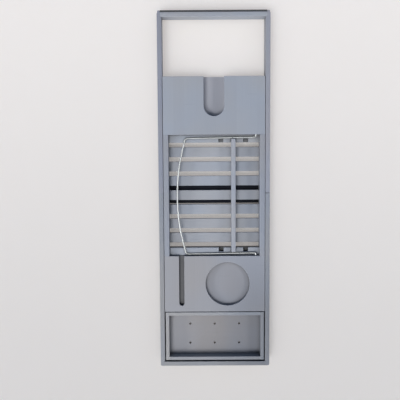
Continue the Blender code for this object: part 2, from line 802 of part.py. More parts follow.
def make_tray():
    """Four walls grooved for a floor with six drain holes."""
    low_x = FRAME_HIGH_X + TRAY_FRAME_GAP
    high_x = low_x + TRAY_LENGTH
    half_y = TRAY_WIDTH / 2
    inner_low_x = low_x + TRAY_WALL
    inner_high_x = high_x - TRAY_WALL
    inner_y = half_y - TRAY_WALL
    short_y = inner_y + SEAT_GAP
    spans = {
        "tray_wall_near": ((low_x, -half_y), (high_x, -inner_y)),
        "tray_wall_far": ((low_x, inner_y), (high_x, half_y)),
        "tray_wall_inner": ((low_x, SEAT_GAP - inner_y), (inner_low_x, inner_y - SEAT_GAP)),
        "tray_wall_outer": ((inner_high_x, SEAT_GAP - inner_y), (high_x, inner_y - SEAT_GAP)),
    }
    floor_low = TRAY_FLOOR_TOP - TRAY_FLOOR_THICKNESS
    reach = TRAY_FLOOR_HOUSING
    groove = box_cutter(
        "tray_floor_groove",
        (inner_low_x - reach, -inner_y - reach, floor_low - SEAT_GAP),
        (inner_high_x + reach, inner_y + reach, TRAY_FLOOR_TOP + SEAT_GAP),
    )
    pieces = []
    for name, (low, high) in spans.items():
        wall = board(name, (*low, TRAY_BOTTOM), (*high, TOP), painted(name))
        cut(wall, groove)
        pieces.append(wall)
    tongue = reach - SEAT_GAP
    floor = board(
        "tray_floor",
        (inner_low_x - tongue, -inner_y - tongue, floor_low),
        (inner_high_x + tongue, inner_y + tongue, TRAY_FLOOR_TOP),
        painted("tray_floor"),
    )
    middle_x = (low_x + high_x) / 2
    for row in (-1, 1):
        for column in (-1, 0, 1):
            cut(
                floor,
                round_cutter(
                    f"tray_hole_{row}_{column}",
                    (middle_x + row * TRAY_HOLE_PITCH_X / 2, column * TRAY_HOLE_PITCH_Y, TRAY_FLOOR_TOP),
                    TRAY_HOLE_DIAMETER / 2,
                    2 * (TRAY_FLOOR_THICKNESS + CUT_OVERRUN),
                    TRAY_HOLE_STEPS,
                ),
            )
    pieces.append(floor)
    return pieces


# Page rest and ledge bar

def rounded_path(corners, radii, steps):
    """Points along straight runs between corners, each corner but the ends turned into an arc."""
    points = [Vector(corners[0])]
    for before, corner, after, radius in zip(corners, corners[1:], corners[2:], radii):
        before, corner, after = Vector(before), Vector(corner), Vector(after)
        back = (before - corner).normalized()
        ahead = (after - corner).normalized()
        half = back.angle(ahead) / 2
        setback = radius / math.tan(half)
        centre = corner + (back + ahead).normalized() * (radius / math.sin(half))
        start = corner + back * setback - centre
        end = corner + ahead * setback - centre
        axis = start.cross(end)
        for step in range(steps + 1):
            turned = Quaternion(axis, start.angle(end) * step / steps) @ start
            points.append(centre + turned)
    points.append(Vector(corners[-1]))
    return points


def bow_points(half_span):
    """The bow between the wire's corners, as a shallow arc from one side to the middle."""
    rise = WIRE_BOW_RISE
    radius = (half_span ** 2 + rise ** 2) / (2 * rise)
    half_angle = math.asin(half_span / radius)
    points = []
    for step in range(WIRE_BOW_STEPS + 1):
        angle = half_angle * (2 * step / WIRE_BOW_STEPS - 1)
        points.append((radius * math.sin(angle), -(WIRE_BOW_REACH - radius * (1 - math.cos(angle)))))
    return points


def wire_path():
    """The wire's middle line in its own plane: X along its axis, Y away from it."""
    arm_x = (OPENING_HIGH_X - OPENING_LOW_X) / 2 - WIRE_ARM_INSET
    pin_x = (OPENING_HIGH_X - OPENING_LOW_X) / 2 + WIRE_PIN_LENGTH
    bow = bow_points(arm_x)
    side = rounded_path(
        [(-pin_x, 0, 0), (-arm_x, 0, 0), (*bow[0], 0), (*bow[WIRE_CORNER_STEPS], 0)],
        [WIRE_PIN_BEND_RADIUS, WIRE_CORNER_RADIUS],
        WIRE_BEND_STEPS,
    )
    left = side[:-1]
    middle = [Vector((x, y, 0)) for x, y in bow[WIRE_CORNER_STEPS:-WIRE_CORNER_STEPS]]
    right = [Vector((-point.x, point.y, 0)) for point in reversed(left)]
    return left + middle + right


def make_wire():
    curve = bpy.data.curves.new("page_rest_wire", "CURVE")
    curve.dimensions = "3D"
    curve.bevel_depth = WIRE_RADIUS
    curve.bevel_resolution = WIRE_ROUND_RESOLUTION
    curve.use_fill_caps = True
    path = wire_path()
    spline = curve.splines.new("POLY")
    spline.points.add(len(path) - 1)
    for point, place in zip(spline.points, path):
        point.co = (*place, 1)
    spline.use_smooth = True
    item = add_object("page_rest_wire", curve, PARTS, (OPENING_MIDDLE_X, WIRE_AXIS_Y, WIRE_AXIS_Z))
    item.rotation_euler.x = WIRE_FOLDED_TILT
    item.data.materials.append(steel("page_rest_wire"))
    return item


def make_ledge_bar():
    """The loose bar that a page or screen stands against, with each end in a notch."""
    half = LEDGE_WIDTH / 2
    return board(
        "ledge_bar",
        (STRIP_INNER_LOW_X - NOTCH_LENGTH + SEAT_GAP, NOTCH_MIDDLE_Y - half, NOTCH_FLOOR + SEAT_GAP),
        (STRIP_INNER_HIGH_X + NOTCH_LENGTH - SEAT_GAP, NOTCH_MIDDLE_Y + half, TOP),
        painted("ledge_bar"),
    )


def main():
    rails = {-1: make_rail("rail_near", -1), 1: make_rail("rail_far", 1)}
    make_glass_panel()
    make_cup_panel()
    make_frame_boards()
    make_slats()
    glass_strip, cup_strip = strip_spans()
    make_notched_strip("notched_strip_glass", glass_strip, STRIP_INNER_LOW_X, -1)
    make_notched_strip("notched_strip_cup", cup_strip, STRIP_INNER_HIGH_X, 1)
    make_travel_stop("open_travel_stop", -1, rails)
    make_travel_stop("tray_travel_stop", 1, rails)
    open_arm = make_arm("open", -1)
    tray_arm = make_arm("tray", 1) + make_tray_ledges()
    carry("open_arm_slide", (-ARM_OUTER_X, 0, 0), open_arm)
    carry("tray_arm_slide", (ARM_OUTER_X, 0, 0), tray_arm)
    carry("tray_lift", (FRAME_HIGH_X + TRAY_FRAME_GAP + TRAY_LENGTH / 2, 0, TRAY_BOTTOM), make_tray())
    carry("ledge_bar_lift", (OPENING_MIDDLE_X, NOTCH_MIDDLE_Y, NOTCH_FLOOR), [make_ledge_bar()])
    make_wire()


main()
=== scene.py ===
import json
import math

import bmesh
import bpy
from mathutils import Matrix, Quaternion, Vector


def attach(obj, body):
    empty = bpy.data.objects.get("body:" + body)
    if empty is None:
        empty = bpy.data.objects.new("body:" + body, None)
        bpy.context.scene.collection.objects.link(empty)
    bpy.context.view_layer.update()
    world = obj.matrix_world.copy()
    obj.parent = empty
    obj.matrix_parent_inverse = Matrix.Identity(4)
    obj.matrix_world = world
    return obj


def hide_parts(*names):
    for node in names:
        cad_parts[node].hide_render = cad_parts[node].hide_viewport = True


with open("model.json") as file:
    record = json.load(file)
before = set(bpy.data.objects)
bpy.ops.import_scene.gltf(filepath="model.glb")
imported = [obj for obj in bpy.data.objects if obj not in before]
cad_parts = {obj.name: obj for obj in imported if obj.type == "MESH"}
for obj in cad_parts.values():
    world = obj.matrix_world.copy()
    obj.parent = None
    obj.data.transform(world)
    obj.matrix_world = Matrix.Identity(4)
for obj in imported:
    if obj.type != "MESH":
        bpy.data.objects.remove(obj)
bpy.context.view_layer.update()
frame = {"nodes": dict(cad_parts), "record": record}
record = frame["record"]

body_of = {
    node: body for body, nodes in record["behaviour"]["bodies"].items() for node in nodes
}
slot_of = {part["node"]: part["material_slot"] for part in record["subparts"]}

MM = 0.001
AXES = "XYZ"
# Near and far are the two sides across the caddy, at low and high Y
SIDES = ((-1, "near"), (1, "far"))

# Camera
CAMERA_PLACE = Vector((-0.11917, -0.02516, 1.37209))
CAMERA_TARGET = Vector((0.0132, -0.02842, 0.040))
CAMERA_ROLL = math.radians(0.3613)
CAMERA_LENS = 60.84
SENSOR_WIDTH = 36

# Each lamp: name, direction that its light comes from, share of full light that it gives a
# level face, and its spread in degrees
LAMPS = (
    ("key", Vector((0.30, -0.25, 1.0)), 0.41, 24),
    ("left_window", Vector((0.15, -1.95, 1.0)), 0.19, 16),
    ("right_window", Vector((0.10, 1.12, 1.0)), 0.15, 12),
)
LAMP_COLOUR = (1.0, 0.985, 0.965)

# A ramp is four numbers: the two values between which something changes, and what it changes
# from and to. The sky and the studio change along a direction, whose own side is the bright one.
SKY_BRIGHT_SIDE = Vector((1.0, 0.0, 0.0))
SKY_RAMP = (-0.8, 0.8, 0.0, 1.0)
SKY_DARK = (0.025, 0.090, 0.21, 1.0)
SKY_BRIGHT = (0.42, 0.435, 0.45, 1.0)
# What bright metal sees of the studio. The camera sees the pale tone alone.
STUDIO_BRIGHT_SIDE = Vector((0.35, 0.0, 1.0))
STUDIO_RAMP = (0.45, 0.95, 0.0, 1.0)
STUDIO_LOW = (0.03, 0.035, 0.045, 1.0)
STUDIO_PALE = (0.84, 0.83, 0.81, 1.0)

FLOOR_SIZE = 6.0
# The floor's colour as the part sees it
FLOOR_COLOUR = (244, 240, 237)
FLOOR_ROUGHNESS = 0.9
FLOOR_SPECULAR = 0.1
# Light spreads a little inside the cloth, red the farthest
FLOOR_SPREAD = (1.0, 0.92, 0.82)
FLOOR_SPREAD_REACH = 0.05
# What the camera sees of the floor: a colour that shows light and shadow, and a pale glow
FLOOR_SEEN_COLOUR = (200, 197, 194)
FLOOR_PALE_COLOUR = (255, 249, 245)
# The glow falls along X, from beyond the open arm to beyond the tray arm, and is a little cloudy
FLOOR_PALE_RAMP = (-0.60, 0.60, 0.52, 0.33)
FLOOR_CLOUD_TONE = 0.03
FLOOR_CLOUD_BASE = 0.985
# The glow fades out where the part shuts the floor off from the room, as under the tray's
# drain holes, and is a little weaker beside the part. Both ramps are over the open share of the
# sky.
FLOOR_SHUT_REACH = 60.0 * MM
FLOOR_SHUT_SAMPLES = 8
FLOOR_SHUT_RAMP = (0.01, 0.11, 0.0, 1.0)
FLOOR_BESIDE_RAMP = (0.40, 1.0, 0.87, 1.0)

# Paint colours as displayed values. The part has one grey paint: the greys here, down to
# GLASS_BOARD_COLOUR, are each set lighter or darker to match how lit that node is, which is
# painted light and shade.
PANEL_COLOUR = (152, 157, 166)
GLASS_PANEL_COLOUR = (148, 153, 162)
CUP_PANEL_COLOUR = (144, 146, 153)
RAIL_COLOUR = (140, 144, 153)
STRIP_COLOUR = (149, 153, 160)
SLAT_COLOUR = (153, 157, 165)
LEDGE_COLOUR = (152, 156, 165)
OPEN_ARM_COLOUR = (138, 143, 154)
OPEN_LEG_NEAR_COLOUR = (132, 136, 149)
OPEN_LEG_FAR_COLOUR = (143, 145, 154)
TRAY_ARM_COLOUR = (133, 137, 145)
OPEN_BAR_COLOUR = (149, 153, 161)
TRAY_WALL_COLOUR = (148, 151, 157)
# Painted shade: a darker grey for the tray's outer and far walls
TRAY_WALL_SHADED_COLOUR = (138, 141, 147)
TRAY_FLOOR_COLOUR = (131, 132, 138)
END_BAR_COLOUR = (132, 136, 143)
CUP_BOARD_COLOUR = (139, 142, 151)
# Painted light: the glass slot's floor is set lighter than the panels around it
GLASS_BOARD_COLOUR = (174, 173, 178)
# The crossbars' near-black paint, with the blue cast of the deep shade under the slats painted in
DARK_COLOUR = (15, 19, 32)
STEEL_COLOUR = (226, 224, 220)
WIRE_COLOUR = (184, 188, 190)
SILICONE_COLOUR = (66, 67, 70)

# The first words of a node's name that fit give its paint, and the rest have PANEL_COLOUR
PAINTS = (
    ("slat", SLAT_COLOUR),
    ("notched", STRIP_COLOUR),
    ("ledge_bar", LEDGE_COLOUR),
    ("tray_wall_outer", TRAY_WALL_SHADED_COLOUR),
    ("tray_wall_far", TRAY_WALL_SHADED_COLOUR),
    ("tray_wall", TRAY_WALL_COLOUR),
    ("tray_floor", TRAY_FLOOR_COLOUR),
    ("tray_end_bar", END_BAR_COLOUR),
    ("open_end_bar", OPEN_BAR_COLOUR),
    ("tray_", TRAY_ARM_COLOUR),
    ("open_leg_near", OPEN_LEG_NEAR_COLOUR),
    ("open_leg_far", OPEN_LEG_FAR_COLOUR),
    ("open_", OPEN_ARM_COLOUR),
    ("rail_", RAIL_COLOUR),
    ("glass_floor", GLASS_BOARD_COLOUR),
    ("cup_floor", CUP_BOARD_COLOUR),
    ("cup_", CUP_PANEL_COLOUR),
    ("glass_", GLASS_PANEL_COLOUR),
)
# Where the photograph's light leaves a node's paint darker or lighter: the axis along which its
# tone changes, and the ramp of the tone over the place along it
SHADES = {
    "notched_strip_glass": ("Z", 0.022, 0.029, 0.62, 1.0),
    "notched_strip_cup": ("Z", 0.0225, 0.0302, 0.15, 1.0),
    "cup_floor": ("Y", -0.038, -0.034, 0.50, 1.0),
    "tray_floor": ("Y", -0.07, -0.02, 1.22, 1.0),
    "open_end_bar": ("X", -0.3429, -0.3424, 1.0, 1.7),
}
# A node with one of these words in its name has its grain along Y, and the rest along X
GRAIN_ACROSS = (
    "slat", "strip", "end_bar", "crossbar", "travel_stop", "cross_rail", "tray_wall_inner",
    "tray_wall_outer", "tray_floor",
)

# Each noise pattern: stretch across and along the grain, scale, detail and roughness
FIBRES = (620.0, 9.0, 1.0, 4.0, 0.6)
HAIRS = (1900.0, 70.0, 1.0, 2.0, 0.5)
CLOUD = (1.0, 1.0, 16.0, 3.0, 0.5)
SPRAY = (1.0, 1.0, 2600.0, 1.0, 0.5)
RUBS = (1.0, 1.0, 190.0, 3.0, 0.6)
HUES = (1.0, 1.0, 9.0, 2.0, 0.5)
DRAWN_STEEL = (2600.0, 40.0, 1.0, 3.0, 0.6)
DRAWN_WIRE = (2600.0, 2600.0, 1.0, 3.0, 0.6)
WATER_MARKS = (1.0, 1.0, 130.0, 4.0, 0.6)
SKIN = (1.0, 1.0, 1500.0, 2.0, 0.5)
DUST = (1.0, 1.0, 110.0, 4.0, 0.65)
FLOOR_CLOUD = (1.0, 1.0, 9.0, 3.0, 0.5)

# Paint: how much handling shows on it, its roughness and its specular level
SATIN = (1.0, 0.46, 0.42)
DULL_BLACK = (0.3, 0.7, 0.15)
# Bamboo strips glued side by side under the paint, each with knuckles along it. For each step
# of its seed a node's strips move by this share of a width, and take their tones from farther on.
LAMELLA_WIDTH = 20.5 * MM
LAMELLA_SHIFT = 0.31
LAMELLA_SEED = 13.7
KNUCKLE_SPACING = 230.0 * MM
KNUCKLE_STAGGER = 7.0
# The two ramps are over the distance from the glue line in widths, and from the knuckle in
# spacings
GLUE_RAMP = (0.0, 0.014, 1.0, 0.0)
KNUCKLE_RAMP = (0.002, 0.007, 1.0, 0.0)
# How far a node's patterns move for each step of its seed, and how far along X, Y and Z
PAINT_SHIFT = 0.37
PAINT_SHIFT_SHARES = (1.0, 1.7, 2.3)
HUE_SHIFT = 3.1
HUE_SHIFT_REST = (0.2, 0.7)
# How much each pattern changes the tone of the paint
FIBRE_TONE = 0.075
HAIR_TONE = 0.04
CLOUD_TONE = 0.10
LAMELLA_TONE = 0.035
GLUE_TONE = -0.035
KNUCKLE_TONE = -0.03
WORN_TONE = 0.10
RUB_RAMP = (0.40, 0.62, 0.35, 1.0)
# Painted shade: the paint is darker toward the tray's far corner, by this share, where the light
# falls off
PAINTED_FAR_SHADE = 0.28
PAINTED_SHADE_ALONG_RAMP = (0.09, 0.25, 0.0, 1.0)
PAINTED_SHADE_ACROSS_RAMP = (-0.03, 0.09, 0.0, 1.0)
# It wanders at random between a warm and a cool tint. At the tray the light is painted in, warm
# on the near side and cool on the far one.
WARM_TINT = (1.05, 1.0, 0.94, 1.0)
COOL_TINT = (0.96, 1.0, 1.06, 1.0)
HUE_RAMP = (0.30, 0.70, 0.3, 0.9)
TRAY_COOL_LIGHT_NEAR = -0.5
TRAY_COOL_LIGHT_NEAR_TO_FAR = 0.8
# Painted shade in the corners: how far it reaches out of them, and the ramp of the tone over the
# open share of the sky
CORNER_SHADE_REACH = 14.0 * MM
CORNER_SHADE_SAMPLES = 6
CORNER_SHADE_RAMP = (0.15, 0.85, 0.36, 1.0)
# How much each pattern changes the paint's roughness and its height
FIBRE_GLOSS = 0.12
CLOUD_GLOSS = 0.10
WORN_GLOSS = -0.05
FIBRE_HEIGHT = 0.7
HAIR_HEIGHT = 0.25
SPRAY_HEIGHT = 0.10
GLUE_HEIGHT = -0.5
KNUCKLE_HEIGHT = 0.35
# Each bump: strength and distance
PAINT_BUMP = (0.55, 0.12 * MM)
STEEL_BUMP = (0.25, 0.03 * MM)
SILICONE_BUMP = (0.5, 0.06 * MM)

STEEL_ROUGHNESS = 0.2
WIRE_ROUGHNESS = 0.48
STEEL_SHIFT_Z = 0.4
# How much the drawn lines and the water marks change the steel's tone and roughness
DRAWN_TONE = 0.10
DRAWN_GLOSS = 0.16
MARK_TONE = 0.08
MARK_GLOSS = 0.10
MARK_RAMP = (0.5, 0.7, 0.0, 1.0)

SKIN_SHIFT_REST = (0.3, 0.1)
DUST_SHIFT_X = 0.2
DUST_SHIFT_Z = 0.6
# How much the moulded skin and the dust change the silicone's tone, and its roughness by dust
SKIN_TONE = 0.16
DUST_TONE = 0.35
DUST_RAMP = (0.5, 0.75, 0.0, 1.0)
SILICONE_ROUGHNESS_RAMP = (0.3, 0.7, 0.66, 0.84)

# Dressed copies: welded, flat faces joined, smooth up to an angle. A face narrower than
# NARROW_FACE, such as a chamfer, is an edge that handling rubs.
WELD_DISTANCE = 1e-6
FLAT_ANGLE = math.radians(0.3)
SMOOTH_ANGLE = math.radians(40)
NARROW_FACE = 1.3 * MM
EVEN_SHADING_WEIGHT = 100

# The open arm's legs end a little beyond its end bar, and a dark silicone strip fills the step
LEG_END_X = -350.4 * MM
LEG_END_STEP = 3.1 * MM
DARK_STRIP_LOW = Vector((-355.1, -103.9, 13.0)) * MM
DARK_STRIP_HIGH = Vector((-351.35, 103.9, 38.6)) * MM
DARK_STRIP_ROUND = 0.8 * MM
DARK_STRIP_SEED = 61
BLOCK_ROUND_STEPS = 3

# Paint that bridges the joints between glued boards. The joint between the two arms' far legs
# shows as a shallow groove, so its paint lies lower.
PAINT_WIDTH = 1.5 * MM
PAINT_DEPTH = 1.4 * MM
PAINT_ROUND = 0.05 * MM
PAINT_TOP = 39.94 * MM
GROOVE_TOP = 36.5 * MM
JOINT_SEED = 70
# Each joint: the board whose paint it has, its middle along X, its middle along Y on the far side
# and its length in mm, the axis along which it runs, and the top of its paint on the far side
JOINTS = (
    ("open_leg", -346.8, 103.85, 8.7, "X", PAINT_TOP),
    ("open_leg", -0.77, 105.5, 7.6, "Y", GROOVE_TOP),
    ("tray_leg", 346.8, 103.85, 8.7, "X", PAINT_TOP),
    ("tray_leg", 0.77, 105.5, 7.6, "Y", GROOVE_TOP),
    ("rail", -115.15, 95.3, 9.4, "Y", PAINT_TOP),
    ("rail", 125.65, 95.3, 9.4, "Y", PAINT_TOP),
    ("tray_wall", 243.8, 91.85, 5.8, "X", PAINT_TOP),
    ("tray_wall", 335.8, 91.85, 5.8, "X", PAINT_TOP),
)

# The page rest's wire, folded down: its axis, its two arms and bent-in pins to each side of the
# middle, and how far its bow reaches from the axis and rises from end to middle. The bow lies a
# little lower than the axis and leans a little to one side.
WIRE = "page_rest_wire"
WIRE_SEED = 3
WIRE_AXIS = Vector((0.00525, 0.0826, 0.0342))
WIRE_RADIUS = 1.6 * MM
WIRE_ARM_X = 115.35 * MM
WIRE_PIN_X = 125.55 * MM
WIRE_BOW_REACH = 156.0 * MM
WIRE_BOW_RISE = 16.4 * MM
WIRE_PIN_BEND = 3.0 * MM
WIRE_CORNER = 7.0 * MM
WIRE_DROP = 1.8 * MM
WIRE_TILT = math.asin(WIRE_DROP / WIRE_BOW_REACH)
WIRE_LEAN = 2.2 * MM
WIRE_ROUND_STEPS = 6
WIRE_BEND_STEPS = 12
WIRE_BOW_STEPS = 96
# The steps of the bow that its rounded corners take up at each end
WIRE_CORNER_SKIP = 18


def linear(rgb):
    """Linear colour of a displayed one given from 0 to 255."""
    values = []
    for channel in rgb:
        share = channel / 255
        values.append(share / 12.92 if share <= 0.04045 else ((share + 0.055) / 1.055) ** 2.4)
    return (*values, 1.0)


def tinted(rgb, tint):
    return tuple(channel * share for channel, share in zip(linear(rgb), tint))


class Tree:
    """The node tree of a material or a world, with short ways to add and join nodes."""

    def __init__(self, owner, shader="Principled BSDF"):
        owner.use_nodes = True
        self.owner = owner
        self.nodes = owner.node_tree.nodes
        self.links = owner.node_tree.links
        self.shader = self.nodes[shader]

    def feed(self, sockets, values):
        """Link each socket to its value if that is a socket too, or else set it."""
        for key, value in values.items():
            if isinstance(value, bpy.types.NodeSocket):
                self.links.new(value, sockets[key])
            else:
                sockets[key].default_value = value

    def add(self, kind, values=None, **settings):
        node = self.nodes.new(kind)
        for key, value in settings.items():
            setattr(node, key, value)
        self.feed(node.inputs, values or {})
        return node

    def shade(self, values):
        self.feed(self.shader.inputs, values)

    def coordinates(self, kind="Object"):
        return self.add("ShaderNodeTexCoord").outputs[kind]

    def axes(self, place):
        return self.add("ShaderNodeSeparateXYZ", {0: place}).outputs

    def toward(self, place, direction):
        values = {0: place, 1: direction.normalized()}
        return self.add("ShaderNodeVectorMath", values, operation="DOT_PRODUCT").outputs["Value"]

    def math(self, operation, first, second=0.0, third=0.0, clamp=False):
        values = {0: first, 1: second, 2: third}
        return self.add("ShaderNodeMath", values, operation=operation, use_clamp=clamp).outputs[0]

    def times(self, first, second):
        return self.math("MULTIPLY", first, second)

    def plus(self, start, *terms):
        """start, plus each value times its factor."""
        for value, factor in terms:
            start = self.math("MULTIPLY_ADD", value, factor, start)
        return start

    def centred(self, value):
        return self.math("SUBTRACT", value, 0.5)

    def ramp(self, value, low, high, to_low, to_high, kind="SMOOTHSTEP"):
        values = {
            "Value": value, "From Min": low, "From Max": high, "To Min": to_low, "To Max": to_high
        }
        node = self.add("ShaderNodeMapRange", values, interpolation_type=kind)
        return node.outputs["Result"]

    def noise(self, place, shift, pattern, along=0):
        """Noise from 0 to 1, stretched along one of the three axes."""
        stretch_across, stretch_along, scale, detail, roughness = pattern
        stretch = [stretch_across] * 3
        stretch[along] = stretch_along
        values = {"Vector": place, "Scale": stretch, "Location": shift}
        mapped = self.add("ShaderNodeMapping", values).outputs["Vector"]
        values = {"Vector": mapped, "Scale": scale, "Detail": detail, "Roughness": roughness}
        return self.add("ShaderNodeTexNoise", values).outputs["Fac"]

    def open_share(self, reach, samples):
        """Share of the sky over a point that nothing hides within reach."""
        values = {"Distance": reach}
        return self.add("ShaderNodeAmbientOcclusion", values, samples=samples).outputs["AO"]

    def seen(self, ray):
        """1 for a ray that the camera sees by, straight, mirrored or through glass, or else 0."""
        bent = self.math("MAXIMUM", ray["Is Glossy Ray"], ray["Is Transmission Ray"])
        return self.math("MAXIMUM", ray["Is Camera Ray"], bent)

    def mixed(self, factor, first, second):
        values = {"Factor": factor, 6: first, 7: second}
        return self.add("ShaderNodeMix", values, data_type="RGBA").outputs[2]

    def scaled(self, colour, tone):
        values = {0: colour, "Scale": tone}
        return self.add("ShaderNodeVectorMath", values, operation="SCALE").outputs[0]

    def bump(self, height, strength, distance):
        values = {"Height": height, "Strength": strength, "Distance": distance}
        return self.add("ShaderNodeBump", values).outputs["Normal"]


# Materials


def bamboo(tree, along, across, seed):
    """Tone of the glued strips, their glue lines and their knuckles."""
    place = tree.plus(LAMELLA_SHIFT * seed, (across, 1 / LAMELLA_WIDTH))
    number = tree.math("ADD", tree.math("FLOOR", place), LAMELLA_SEED * seed)
    random = tree.add("ShaderNodeTexWhiteNoise", {"W": number}, noise_dimensions="1D")
    tone = random.outputs["Value"]
    in_strip = tree.math("FRACT", place)
    to_glue = tree.math("MINIMUM", in_strip, tree.math("SUBTRACT", 1.0, in_strip))
    stagger = tree.times(tone, KNUCKLE_STAGGER)
    in_spacing = tree.math("FRACT", tree.plus(stagger, (along, 1 / KNUCKLE_SPACING)))
    to_knuckle = tree.math("ABSOLUTE", tree.centred(in_spacing))
    return tone, tree.ramp(to_glue, *GLUE_RAMP), tree.ramp(to_knuckle, *KNUCKLE_RAMP)


def painted_wood(name, colour, grain, seed, paint=SATIN, shade=None):
    """Paint over laminated bamboo, with painted shade in its corners and toward the tray's far
    corner, painted light and shade where SHADES gives it, and painted light colour at the tray.
    grain is X or Y, the axis along which the fibres run.
    """
    wear, roughness, specular = paint
    tree = Tree(bpy.data.materials.new(name))
    place = tree.coordinates()
    axes = tree.axes(place)
    along = AXES.index(grain)
    shift = tuple(PAINT_SHIFT * seed * share for share in PAINT_SHIFT_SHARES)
    fibres = tree.noise(place, shift, FIBRES, along)
    hairs = tree.noise(place, shift, HAIRS, along)
    cloud = tree.noise(place, shift, CLOUD)
    spray = tree.noise(place, shift, SPRAY)
    strip_tone, glue, knuckle = bamboo(tree, axes[along], axes[1 - along], seed)
    edge = tree.add("ShaderNodeAttribute", attribute_name="edge").outputs["Fac"]
    worn = tree.times(edge, tree.ramp(tree.noise(place, shift, RUBS), *RUB_RAMP))

    # Ramps toward the tray and toward the far side, for the painted shade and the painted light
    # colour
    toward_tray = tree.ramp(axes["X"], *PAINTED_SHADE_ALONG_RAMP)
    toward_far = tree.ramp(axes["Y"], *PAINTED_SHADE_ACROSS_RAMP)
    tone = tree.plus(
        1.0,
        (tree.centred(fibres), FIBRE_TONE),
        (tree.centred(hairs), HAIR_TONE),
        (tree.centred(cloud), CLOUD_TONE),
        (tree.centred(strip_tone), LAMELLA_TONE),
        (glue, GLUE_TONE),
        (knuckle, KNUCKLE_TONE),
        (worn, WORN_TONE * wear),
    )
    # Painted shade, darker toward the tray's far corner
    tone = tree.times(tone, tree.plus(1.0, (tree.times(toward_tray, toward_far), -PAINTED_FAR_SHADE)))
    # Painted shade in corners and recesses, darker where less sky is open
    tone = tree.times(tone, tree.ramp(tree.open_share(CORNER_SHADE_REACH, CORNER_SHADE_SAMPLES), *CORNER_SHADE_RAMP))
    if shade:
        axis, *tone_ramp = shade
        tone = tree.times(tone, tree.ramp(axes[axis], *tone_ramp))

    hue = tree.noise(place, (HUE_SHIFT * seed, *HUE_SHIFT_REST), HUES)
    # Painted light colour: cool toward the tray's far side, warm at its near side
    painted_cool_light = tree.times(toward_tray, tree.plus(TRAY_COOL_LIGHT_NEAR, (toward_far, TRAY_COOL_LIGHT_NEAR_TO_FAR)))
    cool = tree.math("ADD", tree.ramp(hue, *HUE_RAMP), painted_cool_light, clamp=True)
    base = tree.mixed(cool, tinted(colour, WARM_TINT), tinted(colour, COOL_TINT))
    gloss = tree.plus(
        roughness,
        (tree.centred(fibres), FIBRE_GLOSS),
        (tree.centred(cloud), CLOUD_GLOSS),
        (worn, WORN_GLOSS),
    )
    height = tree.plus(
        0.0,
        (hairs, HAIR_HEIGHT),
        (fibres, FIBRE_HEIGHT),
        (spray, SPRAY_HEIGHT),
        (glue, GLUE_HEIGHT),
        (knuckle, KNUCKLE_HEIGHT),
    )
    tree.shade({
        "Base Color": tree.scaled(base, tone),
        "Roughness": gloss,
        "Specular IOR Level": specular,
        "Normal": tree.bump(height, *PAINT_BUMP),
    })
    return tree.owner


def steel(name, seed, pattern=DRAWN_STEEL, roughness=STEEL_ROUGHNESS, colour=STEEL_COLOUR):
    """Drawn or turned stainless steel with fine lines and faint water marks."""
    tree = Tree(bpy.data.materials.new(name))
    place = tree.coordinates()
    drawn = tree.noise(place, (seed, 2 * seed, STEEL_SHIFT_Z), pattern)
    marks = tree.noise(place, (0, 0, 0), WATER_MARKS)
    tone = tree.plus(1.0, (tree.centred(drawn), DRAWN_TONE), (tree.centred(marks), MARK_TONE))
    gloss = tree.plus(
        roughness,
        (tree.centred(drawn), DRAWN_GLOSS),
        (tree.ramp(marks, *MARK_RAMP), MARK_GLOSS),
    )
    tree.shade({
        "Base Color": tree.scaled(linear(colour)[:3], tone),
        "Metallic": 1.0,
        "Roughness": gloss,
        "Normal": tree.bump(drawn, *STEEL_BUMP),
    })
    return tree.owner


def silicone(name, seed):
    """Matt silicone with a fine moulded texture and dust caught on it."""
    tree = Tree(bpy.data.materials.new(name))
    place = tree.coordinates()
    skin = tree.noise(place, (seed, *SKIN_SHIFT_REST), SKIN)
    dust = tree.noise(place, (DUST_SHIFT_X, seed, DUST_SHIFT_Z), DUST)
    tone = tree.plus(
        1.0, (tree.centred(skin), SKIN_TONE), (tree.ramp(dust, *DUST_RAMP), DUST_TONE)
    )
    tree.shade({
        "Base Color": tree.scaled(linear(SILICONE_COLOUR)[:3], tone),
        "Roughness": tree.ramp(dust, *SILICONE_ROUGHNESS_RAMP),
        "Normal": tree.bump(skin, *SILICONE_BUMP),
    })
    return tree.owner


def colour_of(node):
    return next((colour for words, colour in PAINTS if node.startswith(words)), PANEL_COLOUR)


def grain_of(node):
    return "Y" if any(word in node for word in GRAIN_ACROSS) else "X"


def material_of(node, seed):
    slot = slot_of[node]
    if slot == "painted_wood":
        return painted_wood(
            f"{node}_paint", colour_of(node), grain_of(node), seed, shade=SHADES.get(node)
        )
    if slot == "dark_painted_wood":
        return painted_wood(f"{node}_paint", DARK_COLOUR, grain_of(node), seed, DULL_BLACK)
    if slot == "steel":
        return steel(f"{node}_steel", seed)
    return silicone(f"{node}_silicone", seed)


# Pieces


def placed(name, data):
    """A new object in the scene."""
    piece = bpy.data.objects.new(name, data)
    bpy.context.scene.collection.objects.link(piece)
    return piece


def smooth(work):
    """Smooth faces, with a sharp edge at every angle beyond SMOOTH_ANGLE."""
    for face in work.faces:
        face.smooth = True
    for edge in work.edges:
        edge.smooth = len(edge.link_faces) == 2 and edge.calc_face_angle(0) < SMOOTH_ANGLE


